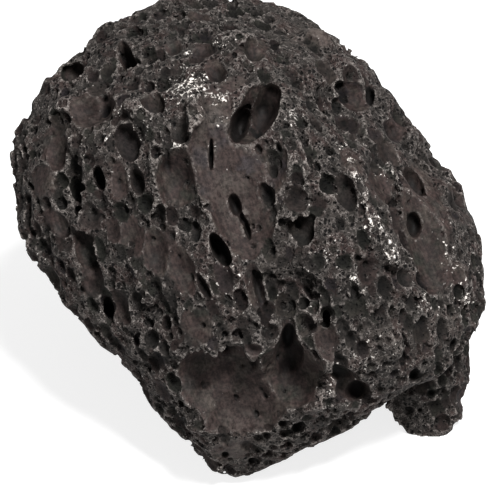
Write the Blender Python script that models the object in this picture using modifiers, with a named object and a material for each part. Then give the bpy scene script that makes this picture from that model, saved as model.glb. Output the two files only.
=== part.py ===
"""A lava rock: one piece of vesicular basalt, lying on its broken flat base.

The rock is laid out from its show face, the broad weathered side that leans back over the base.
Places on it are given in millimetres as (across, up, out): across to the right, up the leaning
face, and out of it.  Everything is then set in the part's own frame: metres, +Z up, the base on
z = 0.

The body is a hull round its corners, with a smaller hull for the foot.  Broad dents are cut from
it, ridges, ledges and knobs are joined to it, and it is roughened with lumps.  Then gas bubbles of
all sizes are cut from it, and it is cut off flat below.
"""
import math

import bmesh
import bpy
import numpy as np
from mathutils import Matrix, Vector

MM = 0.001

# ---- How the show face lies in the part's frame ----
LEAN_DEG = 40.0                      # the face looks up at this angle above the horizon
CENTRE = (0.0, -0.008, 0.055)        # where across, up and out are all zero
LEAN = math.radians(LEAN_DEG)
ACROSS = np.array((1.0, 0.0, 0.0))
UP = np.array((0.0, math.sin(LEAN), math.cos(LEAN)))
OUT = np.array((0.0, -math.cos(LEAN), math.sin(LEAN)))

# ---- Corners of the main body, (across, up, out) in mm ----
RIM_CORNERS = [                      # round the edge of the show face, clockwise from the left
    (-71, 6, 3), (-71, 33, -2), (-62, 52, -4), (-45, 66, -6), (-27, 75, -8), (-8, 77, -12),
    (8, 75, -14), (22.2, 66.6, -10), (38.3, 54.5, -10), (47.7, 41.8, -10), (56.4, 25.7, -12),
    (63.9, 19, -6), (68.4, 3.9, 4), (69, -16.5, 6), (65, -26.5, 8), (56, -35, 18), (40, -42, 20),
    (27, -49, 17),
    (15, -56, 12), (7, -62, 8), (-2, -70, 1), (-11, -67, 6), (-22, -51, 13), (-37, -33, 14),
    (-49, -21, 13), (-63, -4, 8),
]
FACE_CORNERS = [                     # the low ridges that stand out on the face
    (-14, 29, 38), (-42, 33, 27), (-56, 20, 18), (-38, -3, 29), (-28, -24, 30), (-14, -14, 37),
    (-12, -50, 25), (-2, 56, 26), (17, 56, 14), (24, 30, 34), (34, 9, 37), (24, -16, 39),
    (50, 10, 20), (50, -22, 27), (32, -32, 34), (14, -48, 26), (-30, 55, 14),
]
BACK_CORNERS = [                     # behind and below, in the part's frame: x, y, z in mm
    (-36, 12, -3), (-46, 36, -3), (-16, 56, -3), (26, 52, -3), (52, 30, -3), (58, 6, -3),
    (30, -16, -3), (-5, -45, -3), (-19, -14, -3),
    (-66, 22, 46), (-58, 54, 52), (-20, 70, 48), (26, 68, 44), (60, 44, 46), (70, 14, 40),
    (-48, 40, 84), (-10, 58, 92), (34, 50, 86),
    (4, 76, 34), (-38, 66, 22), (42, 61, 16), (-54, 44, 12), (14, 67, 72), (-34, 60, 76),
]
# ---- The foot, a lobe set back at the lower right ----
FOOT_CORNERS = [
    (67, -24, -12), (69, -40, -18), (66, -54, -18), (58, -61, -18), (48, -58, -17),
    (41, -48, -12), (56, -34, -4), (64, -50, -14), (44, -30, -40), (66, -20, -44), (60, -20, -12),
    (50, -50, -36), (62, -46, -42),
]

# ---- Places on the face are read as they look from this far in front of it, in mm ----
VIEW_DISTANCE = 562.5

# ---- Dents, the broad shallow valleys between the ridges, in mm ----
# across, up, half width, half height, turn in degrees (the top leans left), depth.  A dent's middle
# lies above the surface, as a DISH does.
DENTS = [
    (-3, 22, 12, 21, 8, 3.5), (12, -14, 10, 9.5, 5, 6), (-21.5, 14, 5.5, 15, 10, 3.5),
    (41, 23, 5, 10, 25, 4), (30, 45, 8, 6.5, -20, 4), (52, 8, 8.5, 19, 10, 4),
    (-5, -45, 14, 15, 8, 4), (-58, 20, 8, 14, 5, 2.5), (-32, -22, 8, 10, 25, 3),
    (20, -42, 6, 5, -10, 2),
]

# ---- Ridges, ledges and knobs that stand proud of the body, in mm ----
# across, up, half width, half height, turn in degrees (the top leans left), how far it stands out.
BUMPS = [
    (-16, 33, 4.5, 14, 4, 2.6), (14, 24, 5, 15, 12, 2.2), (20, -26, 4, 13, 22, 3.2),
    (2, -27, 3.5, 8, 0, 2.0), (-30, 40, 9, 4, -25, 2.2), (-47, 28, 3.5, 8, 15, 2.2),
    (-28, 24, 2.6, 8, 10, 2.0), (-14, -22, 3.4, 12, 20, 2.4), (-33, -6, 4, 12, 15, 2.0),
    (20, 62, 6, 4.5, -30, 4.0), (28, 53, 7, 5, -35, 3.0), (39, 44, 6, 5, -45, 3.0),
    (48, 33, 4, 6, 15, 3.0), (58, 18, 5, 4, 0, 3.0), (32, 20, 2.4, 10.5, 22, 2.4),
    (40.5, 2, 2.6, 9.5, 27, 2.8), (33, -12, 6, 8, 20, 2.4), (41, -27, 5, 7, 35, 2.6),
    (24, 4, 5, 8, 5, 2.0), (-8, -52, 10, 3.5, 8, 2.4), (22, -45, 8, 3, 22, 2.4),
    (62, -10, 4, 8, 5, 3.0), (-55, 42, 6, 4, 20, 2.6), (-4, 62, 9, 5, -5, 2.4),
]
# ---- Chips broken out of the edge: across, up, out, half sizes three ways, turn ----
CHIPS = [
    (31.5, 68, -10, 8, 4.5, 14, -42), (32.6, 62.6, -10, 6, 3.6, 14, -24),
    (56, 43.3, -10, 7, 4, 16, -50), (59, 28.4, -8, 5.5, 4.4, 14, -12),
    (33, -55, 14, 12, 3, 10, 24),
]

# ---- Lumps that roughen the body: (spacing, height) of each layer, in mm ----
LUMP_LAYERS = [(26, 1.5), (11, 1.0), (5, 0.6)]
LUMP_SEED = 11
LATTICE = 48                         # lattice points along each side before the lumps repeat

# ---- Gas bubbles cut open on the show face, in mm ----
# across, up, half width, half height, turn in degrees (the top leans left), depth, sink.
# The sink says where the bubble's middle lies: DISH above the surface, CUP on it, POCKET below it.
DISH, CUP, POCKET = -0.6, 0.0, 0.35
LEAST_HOLLOW = 1.5                   # mm; hollows of a smaller mean half size are left out: they
#                                      would be finer than the solid's faces
HOLLOWS = [
    # the long smooth wall down the middle, and the deep pit of two cells at its top
    (-4, 26.4, 12, 12.6, 6, 2.2, DISH), (-2.7, 14.4, 7.8, 14.4, 12, 2.2, DISH),
    (1.8, 41.7, 5.4, 10.6, -22, 7.5, CUP),
    (4.2, 42.6, 4.4, 9.8, -20, 11, CUP), (-2.4, 38.7, 3.4, 6.8, -22, 15, CUP),
    (-4.5, 13.5, 2.1, 3.9, 14, 6, CUP), (-2.4, 9.6, 1.1, 2.6, 14, 5, CUP),
    (-0.9, 6.6, 1, 3.8, 14, 6, CUP), (-9, 0, 2.3, 5.7, 28, 9, POCKET),
    (-11.7, 28.8, 0.7, 4.8, 0, 7, POCKET), (6, 51.6, 2.1, 1.8, 0, 2, DISH),
    (6.6, 32.4, 0.5, 1.2, 5, 2, CUP), (8.7, 30.6, 0.9, 1.8, 20, 3, CUP),
    (-0.6, 21.6, 0.5, 0.9, 0, 3, CUP),
    # the groove, and the rough hollow it borders
    (1.8, -11.1, 3.3, 8.1, 14, 3, DISH), (2.6, -11.4, 1.8, 6.6, 14, 6, CUP),
    (4.8, -18, 1, 3, 20, 4, CUP),
    (10.5, -16.5, 3, 3.6, 0, 1.8, DISH), (17.4, -12.6, 0.9, 2.7, 30, 3, CUP),
    (6.9, -12.9, 1.5, 2.4, 0, 2.5, CUP), (9.3, -10.2, 1.6, 1.2, 0, 1.6, CUP),
    # the great hollow at the foot of the face, its cleft, and the pits in its floor
    (-8.4, -40.5, 10.2, 10.5, 8, 4.5, DISH), (-2.4, -48, 11.7, 12.3, 8, 6, DISH),
    (11.4, -39.6, 10.8, 10.2, 10, 8.5, DISH),
    (11.7, -29.4, 2.6, 7.8, 0, 11, CUP), (11.4, -34.2, 5.2, 8.4, 0, 10.5, CUP),
    (-11.1, -38.1, 2.1, 3.6, 10, 2.2, DISH), (-9, -49.2, 1.5, 1.6, 20, 3, CUP),
    (-11.1, -51.9, 1.2, 1.1, 0, 2, CUP), (-6.6, -55.5, 0.9, 0.5, 0, 1.5, CUP),
    (0, -30, 4.8, 2.4, -10, 2.5, DISH),
    # the second hollow, under its overhang
    (27.6, -38.4, 4.8, 3.4, -38, 6, CUP), (32.1, -41.4, 5.1, 4.8, -12, 8, CUP),
    (24.6, -46.5, 2.1, 2.1, 0, 1.5, DISH),
    # upper left
    (-52.5, 53.1, 2.4, 2.9, 25, 9, POCKET), (-36.9, 57.3, 1.9, 5.4, 22, 9, POCKET),
    (-49, 43.2, 7.2, 5.6, 0, 3.5, DISH), (-44.5, 43.5, 3.2, 3.9, 0, 6, CUP),
    (-42.6, 39.9, 1.5, 1.2, 0, 2.4, CUP), (-26.1, 50.1, 2.4, 3.6, 15, 3, CUP),
    (-29.4, 44.4, 2.4, 3, 15, 3, CUP), (-36, 31.5, 2.7, 5.1, 20, 4, CUP),
    (-49.8, 34.5, 1.5, 2.4, 10, 1.5, DISH), (-58.8, 31.2, 3.6, 6, 5, 2.2, DISH),
    (-52.2, 24.9, 0.9, 0.9, 0, 2, CUP), (-28.5, 29.4, 1.5, 2.1, 0, 2.5, CUP),
    (-42.9, 55.5, 2.4, 3.6, 0, 1.5, DISH), (-47.4, 52.8, 1.8, 2.1, 0, 1.5, DISH),
    (-31.5, 58.5, 3.6, 2.7, -20, 1.4, DISH), (-30, 54.9, 0.9, 1.2, -30, 2, CUP),
    (-35.1, 65.1, 0.9, 1.5, -15, 3, CUP), (-38.1, 40.2, 1.8, 1.5, 0, 1.4, DISH),
    (-30.6, 35.1, 1.8, 2.4, 0, 1.4, DISH),
    # the top
    (-23.1, 60.9, 2.4, 2.4, 0, 1.5, DISH), (-14.1, 60, 3.3, 2.4, 0, 1.6, DISH),
    (-15, 64.5, 3, 1.8, 0, 1.4, DISH), (-21, 69.9, 1.2, 1.2, 0, 2.5, CUP),
    (-21.3, 67.5, 0.9, 0.9, 0, 1.5, CUP), (-19.2, 67.8, 0.8, 0.9, 0, 2, CUP),
    (-7.5, 66.6, 1.2, 0.9, 0, 2.5, CUP), (-10.5, 54, 2.7, 3.6, 30, 1.6, DISH),
    (1.8, 60.6, 2.7, 4.2, -15, 1.6, DISH), (7.2, 62.1, 1.5, 2.7, 5, 3, CUP),
    (-3, 64.2, 1.5, 1.2, 0, 1.5, DISH), (-3.9, 71.7, 0.9, 1.2, -30, 2.5, CUP),
    (-22.5, 56.4, 1.2, 1.2, 0, 1.2, DISH), (-18.9, 56.7, 1.2, 1.2, 0, 1.2, DISH),
    (-4.8, 58.5, 0.9, 1.5, 10, 1.6, CUP), (-12.9, 51, 0.9, 1.2, 0, 1.6, CUP),
    (-27.6, 71.4, 2.7, 2.1, 10, 2, DISH),
    # left
    (-45.3, 21.3, 1.9, 4, 15, 5, CUP), (-33.9, 20.7, 2.4, 4.2, 15, 5, CUP),
    (-51.6, 16.8, 1.3, 2.1, 0, 4, POCKET), (-51.3, 12, 1.3, 1.3, 0, 4, POCKET),
    (-39.6, 20.7, 2.7, 5.7, 5, 1.6, DISH), (-22.2, 20, 5.2, 9.4, 5, 3, DISH),
    (-24.6, 24, 2.4, 5, 5, 3.4, DISH),
    (-24.6, 27.6, 0.9, 2.4, 5, 3, CUP), (-27, 10.2, 1.8, 3.9, -4, 3.6, CUP),
    (-31.5, 14.1, 0.6, 1.5, 0, 2, CUP), (-38.4, 11.7, 2.4, 3, 0, 1.4, DISH),
    (-57.9, 8.4, 2.7, 4.5, 35, 1.8, DISH), (-66.6, 15.6, 1.8, 1.1, -40, 3, CUP),
    (-66, 19.2, 1.8, 0.9, -40, 2, CUP), (-61.5, 14.7, 0.9, 0.6, 0, 1.5, CUP),
    (-16.5, 7.2, 0.9, 1.5, 5, 2.5, CUP), (-61.5, 7.2, 0.9, 0.9, -20, 1.5, CUP),
    (-24.9, 4.2, 3.6, 4.2, 10, 1.8, DISH), (-15.9, 33.9, 1.5, 3.9, 0, 1.6, DISH),
    # lower left
    (-49.5, 0, 2.7, 2.7, 0, 4, CUP), (-47.4, -0.6, 0.8, 1.8, -10, 6, POCKET),
    (-42.6, -18, 1.6, 3.9, 12, 8, POCKET), (-39, -15.3, 2.1, 3.3, 5, 1.6, DISH),
    (-34.2, -14.1, 1.5, 1.5, 0, 1.2, DISH), (-43.8, -24.9, 2.1, 2.7, 20, 1.6, DISH),
    (-41.1, -28.2, 1.8, 2.4, 40, 1.4, DISH), (-34.2, -27.3, 1.1, 2.1, 0, 4, CUP),
    (-29.7, -27, 2.4, 3, 0, 3, CUP), (-24.9, -21.9, 1.8, 2.4, 0, 2.2, CUP),
    (-27.9, -33.9, 1.8, 3, 10, 1.6, DISH), (-14.1, -10.8, 1.5, 4.5, 28, 3, CUP),
    (-10.8, -10.5, 1.5, 3, 25, 2, DISH), (-21.6, -5.1, 3.9, 8.4, 20, 2.2, DISH),
    (-29, 0, 3.9, 7, 8, 1.8, DISH), (-37, 5, 4.5, 6.6, 20, 1.6, DISH),
    (-16.5, -22.8, 4.5, 6, 0, 1.8, DISH),
    (-18.6, -33.6, 1.5, 2.4, -10, 1.8, CUP), (-41.1, -8.7, 1.2, 1.2, 0, 1.6, CUP),
    (-47.4, -10.8, 3, 3.3, 30, 1.4, DISH), (-30.6, -21.6, 1.5, 1.2, 0, 1.6, CUP),
    (-23.4, -28.5, 1.8, 2.1, 10, 1.3, DISH),
    # the upper right ledge
    (32.1, 46.5, 5.7, 5.1, 0, 4.5, CUP), (27.3, 48.9, 2.1, 2.1, 0, 6, CUP),
    (36, 46.5, 1.5, 3.6, 0, 5, CUP), (28.5, 38.4, 1.5, 2.1, 0, 3, CUP),
    (33, 36.6, 3.3, 2.7, 0, 1.8, DISH), (18.3, 44.1, 1.8, 3, 10, 3, CUP),
    (16.8, 32.1, 0.6, 1.2, 10, 2.5, POCKET), (18, 27, 1.1, 2.1, 0, 2, CUP),
    (28.5, 18.6, 2.4, 3.6, 5, 4, CUP), (24, 19.8, 1.8, 2.4, 0, 1.6, DISH),
    (38.4, 28.8, 3.9, 1.5, 15, 4.5, CUP), (37.5, 25.2, 1.8, 2.1, 0, 2.5, CUP),
    (43.5, 36, 3, 3.6, 0, 1.8, DISH), (22.5, 41.1, 0.7, 0.7, 0, 2, POCKET),
    (21, 16.5, 0.9, 0.9, 0, 2, CUP), (19.8, 12, 2.1, 1.8, 0, 1.5, DISH),
    # the smooth wall on the right
    (53.4, 9, 6.6, 16.8, 10, 2.6, DISH), (49.5, 21, 2.9, 5.1, 20, 4.5, CUP),
    (49.2, 8.4, 2.3, 4.1, 3, 5.5, CUP), (43.5, 18, 0.8, 1.8, 0, 2, CUP),
    (42.6, 21, 0.4, 0.6, 0, 1.5, CUP), (55.5, -7.5, 4.8, 4.8, 0, 2, DISH),
    (63, -7.5, 3, 3.6, 0, 1.6, DISH), (47.4, -6.9, 2.9, 2.9, 0, 9, POCKET),
    # right of the middle
    (11.4, 7.2, 1.5, 2.4, 0, 3, CUP), (15.9, 6.6, 1.5, 3, 0, 4, CUP),
    (36, -6, 3, 3.9, -20, 1.6, DISH), (31.2, -11.4, 1.6, 1.2, 0, 2.4, CUP),
    (23.1, -20.1, 1.1, 2.4, 2, 6.5, POCKET), (22.5, -14.1, 1.2, 1.5, 0, 1.6, CUP),
    (28.5, -24, 1.1, 1.8, 5, 2.6, CUP), (31.5, -18, 1.8, 1.5, -10, 1.4, DISH),
    (15, -24.9, 0.9, 0.9, 0, 1.5, CUP), (19.2, -31.5, 1.1, 1.5, 10, 3.5, POCKET),
    (24.9, -36, 0.6, 0.6, 0, 1.6, CUP), (46.5, -15, 0.9, 0.9, 0, 2, CUP),
    (48.6, -15, 0.9, 0.9, 0, 2.4, CUP), (53.4, -14.4, 0.8, 1.2, 0, 2.4, POCKET),
    (45.9, -32.4, 1.3, 2.4, 0, 2.2, CUP), (49.5, -37.8, 1.8, 2.4, 0, 4.5, CUP),
    (45.9, -19.8, 1.2, 2.4, 0, 2, CUP), (41.4, -27.3, 1.1, 1.3, 0, 1.6, CUP),
    (46.5, -27.6, 0.7, 0.8, 0, 2.6, POCKET), (52.5, -25.5, 3, 3.9, 10, 1.4, DISH),
    (37.5, 5.4, 1.2, 1.2, 0, 1.6, CUP), (28.5, -3.6, 2.4, 2.1, 0, 1.3, DISH),
    (20.4, -3.6, 2.1, 2.7, 0, 1.3, DISH), (6, -0.6, 2.4, 3.6, 10, 1.4, DISH),
    (-3, -15, 2.7, 2.7, 0, 1.3, DISH),
    # along the lower edge
    (14.4, -53.1, 1.9, 2.7, -15, 6, POCKET), (5.4, -53.4, 1.8, 1.6, 0, 3, CUP),
    (9.9, -52.2, 1.5, 1.3, 0, 3, CUP), (10.2, -55.2, 1.5, 1.5, 0, 2.5, CUP),
    (4.8, -55.8, 1.5, 1.5, 0, 2.5, CUP), (-7.5, -61.5, 1.2, 1.3, 10, 2.6, CUP),
    (-0.9, -59.1, 1.8, 1.8, 0, 1.6, DISH), (2.4, -56.1, 0.8, 0.9, 0, 2, CUP),
    (9, -49.5, 0.9, 1.1, 0, 2, CUP), (1.5, -63.9, 1.5, 1.2, 0, 1.6, CUP),
    # on the lobe
    (54.6, -43.2, 1.6, 1.6, 0, 3, CUP), (51, -48, 0.7, 0.7, 0, 2, POCKET),
    (48, -48.6, 0.6, 0.6, 0, 1.6, POCKET), (60.9, -28.8, 1.2, 2.4, -10, 3.4, CUP),
    (62.7, -30.9, 0.9, 1.2, 0, 2.6, POCKET), (60, -36.3, 1.5, 2.1, 0, 1.6, DISH),
    (59.4, -45.6, 2.1, 2.7, 0, 1.5, DISH),
]

# ---- Bubbles scattered over the sides that the show face leaves ----
SCATTER_SEED = 5
SCATTER_COUNT = 520
SCATTER_RADII = (1.7, 6.5)           # mm; the small ones are the many
SCATTER_POWER = 1.8                  # how fast the numbers fall with size
SHOW_FACE_REACH = -0.3               # a direction belongs to the show face above this share of OUT
FLOW = -0.94 * UP + 0.34 * ACROSS    # the lava ran this way, and drew the bubbles out along it
STRETCH = (1.1, 1.9)
SINKS = (-0.45, 0.4)                 # from how far above the surface to how far below it
BEYOND = 0.2                         # m from the centre, outside the rock all round

# ---- Mesh sizes, in mm, and the budget of triangles ----
BODY_VOXEL = 2.0
FINE_VOXEL = 0.9
TRIANGLES = 9700

# ---- The stone ----
STONE_COLOUR = (0.045, 0.038, 0.035, 1.0)
STONE_ROUGHNESS = 0.88


def face_place(across, up, out):
    """The point of the part's frame, in metres, for a place given on the show face in mm."""
    return np.array(CENTRE) + MM * (across * ACROSS + up * UP + out * OUT)


def body_points():
    shown = [face_place(*corner) for corner in RIM_CORNERS + FACE_CORNERS]
    return shown + [MM * np.array(corner, float) for corner in BACK_CORNERS]


def foot_points():
    return [face_place(*corner) for corner in FOOT_CORNERS]


def hull_mesh(name, points):
    """The convex hull round a list of points, as a mesh."""
    bm = bmesh.new()
    corners = [bm.verts.new(Vector(point)) for point in points]
    found = bmesh.ops.convex_hull(bm, input=corners, use_existing_faces=False)
    inside = [v for v in found["geom_interior"] if isinstance(v, bmesh.types.BMVert)]
    bmesh.ops.delete(bm, geom=inside, context="VERTS")
    bmesh.ops.recalc_face_normals(bm, faces=bm.faces)
    mesh = bpy.data.meshes.new(name)
    bm.to_mesh(mesh)
    bm.free()
    return mesh


def lumps(points):
    """Smooth noise at each point, in metres: seeded random heights on a lattice, blended between
    the eight lattice points around by smoothed weights, and added up over the layers."""
    rng = np.random.default_rng(LUMP_SEED)
    total = np.zeros(len(points))
    for spacing, height in LUMP_LAYERS:
        lattice = rng.uniform(-1, 1, (LATTICE, LATTICE, LATTICE))
        place = points / (spacing * MM) + LATTICE / 2
        low = np.floor(place).astype(int)
        part = place - low
        weight = part * part * (3 - 2 * part)
        for corner in np.ndindex(2, 2, 2):
            share = np.prod(np.where(corner, weight, 1 - weight), axis=1)
            at = (low + corner) % LATTICE
            total += height * MM * share * lattice[at[:, 0], at[:, 1], at[:, 2]]
    return total


def seen_place(stone, across, up):
    """Where the line from the eye through (across, up, 0) first meets the stone, and the scale
    there: how large things are that look one mm wide in the plane of zero."""
    eye = face_place(0, 0, VIEW_DISTANCE)
    far = face_place(across, up, 0) - eye
    found, place, _, _ = stone.ray_cast(eye, far)
    if not found:
        raise ValueError(f"nothing at {across}, {up}")
    place = np.array(place)
    return place, ((place - eye) @ OUT) / (far @ OUT)


def turned_axes(half_width, half_height, turn, reach):
    """Axes of an ellipsoid on the show face, as the columns of a 3 x 3 matrix: its half sizes in
    metres across, up and out, turned by so many degrees."""
    lean = math.radians(turn)
    wide = math.cos(lean) * ACROSS + math.sin(lean) * UP
    tall = math.cos(lean) * UP - math.sin(lean) * ACROSS
    return np.column_stack((wide * half_width, tall * half_height, OUT * reach))


def bumps(stone):
    """The ridges, ledges and knobs, as (middle, axes): each is sunk half into the stone."""
    found = []
    for across, up, half_width, half_height, turn, height in BUMPS:
        place, scale = seen_place(stone, across, up)
        size = MM * scale
        axes = turned_axes(half_width * size, half_height * size, turn, 2 * MM * height)
        found.append((place - MM * height * OUT, axes))
    return found


def hollow(stone, across, up, half_width, half_height, turn, depth, sink):
    """One hollow as (middle, axes), set where it meets the stone's surface: it is as wide, high and
    deep there as given, also where its middle lies above the surface or below it."""
    place, scale = seen_place(stone, across, up)
    reach = MM * depth / (1 + sink)
    size = MM * scale / math.sqrt(1 - sink * sink)
    axes = turned_axes(half_width * size, half_height * size, turn, reach)
    return place - sink * reach * OUT, axes


def dents(stone):
    return [hollow(stone, *dent, DISH) for dent in DENTS]


def show_face_bubbles(stone):
    return [hollow(stone, *row) for row in HOLLOWS if row[2] * row[3] >= LEAST_HOLLOW ** 2]


def chips():
    """The chips out of the edge, as (middle, axes)."""
    found = []
    for across, up, out, half_width, half_height, reach, turn in CHIPS:
        axes = turned_axes(MM * half_width, MM * half_height, turn, MM * reach)
        found.append((face_place(across, up, out), axes))
    return found


def scattered_bubbles(stone):
    """Bubbles cut open at random behind the show face, long along the flow, as (middle, axes)."""
    rng = np.random.default_rng(SCATTER_SEED)
    small, large = SCATTER_RADII
    flow = FLOW / np.linalg.norm(FLOW)
    side = np.cross(flow, ACROSS)
    side /= np.linalg.norm(side)
    frame = np.column_stack((np.cross(side, flow), side, flow))
    found = []
    for _ in range(SCATTER_COUNT):
        direction = rng.normal(size=3)
        direction /= np.linalg.norm(direction)
        radius = min(small * rng.random() ** (-1 / SCATTER_POWER), large)
        stretch = rng.uniform(*STRETCH)
        sink = rng.uniform(*SINKS)
        if direction @ OUT > SHOW_FACE_REACH:
            continue
        start = np.array(CENTRE) + BEYOND * direction
        _, place, _, _ = stone.ray_cast(start, -direction)
        middle = np.array(place) - sink * radius * MM * direction
        found.append((middle, frame * (radius * MM, radius * MM, radius * stretch * MM)))
    return found


def in_rounds(bubbles):
    """Shares the bubbles out over rounds of cutting, the longest first, so that no two bubbles of
    one round touch."""
    rounds = []
    for middle, axes in sorted(bubbles, key=lambda bubble: -np.linalg.norm(bubble[1], axis=0).max()):
        reach = np.linalg.norm(axes, axis=0).max()
        for group in rounds:
            apart = np.linalg.norm(group["middles"] - middle, axis=1)
            if (apart > group["reaches"] + reach).all():
                break
        else:
            group = {"middles": np.empty((0, 3)), "reaches": np.empty(0), "bubbles": []}
            rounds.append(group)
        group["middles"] = np.vstack((group["middles"], middle))
        group["reaches"] = np.append(group["reaches"], reach)
        group["bubbles"].append((middle, axes))
    return [group["bubbles"] for group in rounds]


def mesh_object(name, mesh, collection):
    obj = bpy.data.objects.new(name, mesh)
    collection.objects.link(obj)
    return obj


def bubble_mesh(name, bubbles):
    """All the bubbles as spheres in one mesh, each stretched and turned by its axes."""
    bm = bmesh.new()
    for middle, axes in bubbles:
        place = Matrix.Translation(middle) @ Matrix(axes.tolist()).to_4x4()
        bmesh.ops.create_icosphere(bm, subdivisions=3, radius=1.0, matrix=place)
    bmesh.ops.recalc_face_normals(bm, faces=bm.faces)
    mesh = bpy.data.meshes.new(name)
    bm.to_mesh(mesh)
    bm.free()
    return mesh


def joined(name, meshes):
    """One mesh holding all the given ones."""
    bm = bmesh.new()
    for mesh in meshes:
        bm.from_mesh(mesh)
    together = bpy.data.meshes.new(name)
    bm.to_mesh(together)
    bm.free()
    return together


def bake_modifiers(obj):
    """Replaces the object's mesh by what its modifiers make of it."""
    bpy.context.view_layer.update()
    graph = bpy.context.evaluated_depsgraph_get()
    mesh = bpy.data.meshes.new_from_object(obj.evaluated_get(graph))
    obj.modifiers.clear()
    obj.data = mesh


def remesh(obj, voxel):
    """Joins overlapping closed shapes into one skin of even faces."""
    modifier = obj.modifiers.new("skin", "REMESH")
    modifier.mode = "VOXEL"
    modifier.voxel_size = voxel * MM
    bake_modifiers(obj)


def cut_out(obj, bubbles, collection):
    """Cuts one round of bubbles from the object.  The MANIFOLD solver is used because EXACT loses
    the whole rock where a bubble grazes one of its edges."""
    cutter = mesh_object("bubbles", bubble_mesh("bubbles", bubbles), collection)
    cutter.hide_render = True
    cutter.display_type = "WIRE"
    cut = obj.modifiers.new("bubbles", "BOOLEAN")
    cut.operation = "DIFFERENCE"
    cut.solver = "MANIFOLD"
    cut.object = cutter
    bake_modifiers(obj)
    bpy.data.objects.remove(cutter)


def thin_out(obj, triangles):
    """Merges faces until about so many triangles are left."""
    now = sum(len(face.vertices) - 2 for face in obj.data.polygons)
    modifier = obj.modifiers.new("fewer", "DECIMATE")
    modifier.ratio = triangles / now
    bake_modifiers(obj)


def roughen(obj):
    """Moves each vertex along its normal by the lumps' height there."""
    mesh = obj.data
    places = np.empty(len(mesh.vertices) * 3)
    normals = np.empty(len(mesh.vertices) * 3)
    mesh.vertices.foreach_get("co", places)
    mesh.vertex_normals.foreach_get("vector", normals)
    places = places.reshape(-1, 3)
    moved = places + normals.reshape(-1, 3) * lumps(places)[:, None]
    mesh.vertices.foreach_set("co", moved.ravel())
    mesh.update()


def level_base(obj):
    """Cuts the rock off flat on z = 0 and closes the cut."""
    bm = bmesh.new()
    bm.from_mesh(obj.data)
    everything = bm.verts[:] + bm.edges[:] + bm.faces[:]
    bmesh.ops.bisect_plane(bm, geom=everything, plane_co=(0, 0, 0), plane_no=(0, 0, -1),
                           clear_outer=True, dist=1e-6)
    rim = [edge for edge in bm.edges if edge.is_boundary]
    bmesh.ops.holes_fill(bm, edges=rim, sides=0)
    bmesh.ops.recalc_face_normals(bm, faces=bm.faces)
    bm.to_mesh(obj.data)
    bm.free()


def keep_largest(obj):
    """Deletes what the bubbles cut loose and the skins of sealed bubbles: every piece of the
    surface but the largest."""
    bm = bmesh.new()
    bm.from_mesh(obj.data)
    left = set(bm.verts)
    pieces = []
    while left:
        piece, front = set(), [left.pop()]
        while front:
            vertex = front.pop()
            piece.add(vertex)
            near = {edge.other_vert(vertex) for edge in vertex.link_edges} & left
            left -= near
            front.extend(near)
        pieces.append(piece)
    pieces.sort(key=len)
    loose = [vertex for piece in pieces[:-1] for vertex in piece]
    bmesh.ops.delete(bm, geom=loose, context="VERTS")
    bm.to_mesh(obj.data)
    bm.free()


def clear_scene():
    for obj in list(bpy.data.objects):
        bpy.data.objects.remove(obj)


def stone_material():
    """Dark grey-brown basalt, dull all over."""
    material = bpy.data.materials.new("stone")
    material.use_nodes = True
    shader = material.node_tree.nodes["Principled BSDF"]
    shader.inputs["Base Color"].default_value = STONE_COLOUR
    shader.inputs["Roughness"].default_value = STONE_ROUGHNESS
    shader.inputs["Metallic"].default_value = 0.0
    return material


def main():
    clear_scene()
    rock = bpy.data.collections.new("lava_rock")
    cutters = bpy.data.collections.new("cutters")
    for collection in (rock, cutters):
        bpy.context.scene.collection.children.link(collection)

    blocks = [hull_mesh("body", body_points()), hull_mesh("foot", foot_points())]
    stone = mesh_object("lava_rock", joined("blocks", blocks), rock)
    remesh(stone, BODY_VOXEL)
    for hollows in in_rounds(dents(stone)):
        cut_out(stone, hollows, cutters)
    stone.data = joined("blocks", [stone.data, bubble_mesh("bumps", bumps(stone))])
    remesh(stone, BODY_VOXEL)
    roughen(stone)

    for bubbles in in_rounds(chips() + show_face_bubbles(stone) + scattered_bubbles(stone)):
        cut_out(stone, bubbles, cutters)
    remesh(stone, FINE_VOXEL)
    level_base(stone)
    keep_largest(stone)
    thin_out(stone, TRIANGLES)
    level_base(stone)
    keep_largest(stone)
    stone.data.materials.append(stone_material())
    stone.data.shade_smooth()


main()
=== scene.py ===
import math

import bmesh
import bpy
import numpy as np
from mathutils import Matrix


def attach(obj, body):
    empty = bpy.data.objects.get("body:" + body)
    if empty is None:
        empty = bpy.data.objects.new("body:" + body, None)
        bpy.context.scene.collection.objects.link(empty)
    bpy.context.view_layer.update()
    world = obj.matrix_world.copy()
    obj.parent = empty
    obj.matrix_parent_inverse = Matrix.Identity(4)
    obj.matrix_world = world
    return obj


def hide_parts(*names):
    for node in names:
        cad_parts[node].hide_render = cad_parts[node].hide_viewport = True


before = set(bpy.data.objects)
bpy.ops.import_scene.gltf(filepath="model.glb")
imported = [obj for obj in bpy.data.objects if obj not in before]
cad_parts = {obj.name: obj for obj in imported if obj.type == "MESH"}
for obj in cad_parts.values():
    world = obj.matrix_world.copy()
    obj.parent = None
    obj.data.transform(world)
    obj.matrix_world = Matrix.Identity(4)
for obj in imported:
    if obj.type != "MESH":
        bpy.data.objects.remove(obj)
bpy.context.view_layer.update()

# ------------------------------------------------------------------------------------------------
# The rock.  One lump of basalt that broke from the bubbly crust of a lava flow: a broad weathered
# face that leans back over a flat broken base, a lobe low on its right, and ledges round the edge.
# It formed in one piece, has nothing fixed to it and lies loose on its base.
# ------------------------------------------------------------------------------------------------
# The block, before its bubbles.  It is a field: for each point of a grid, how many mm it lies
# outside the stone.
LEAN = math.radians(40.0)                       # the weathered face looks up at this angle
CENTRE = np.array((0.0, -8.0, 55.0))            # mm, where across, up and out are all zero
ACROSS = np.array((1.0, 0.0, 0.0))
UP = np.array((0.0, math.sin(LEAN), math.cos(LEAN)))
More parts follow.
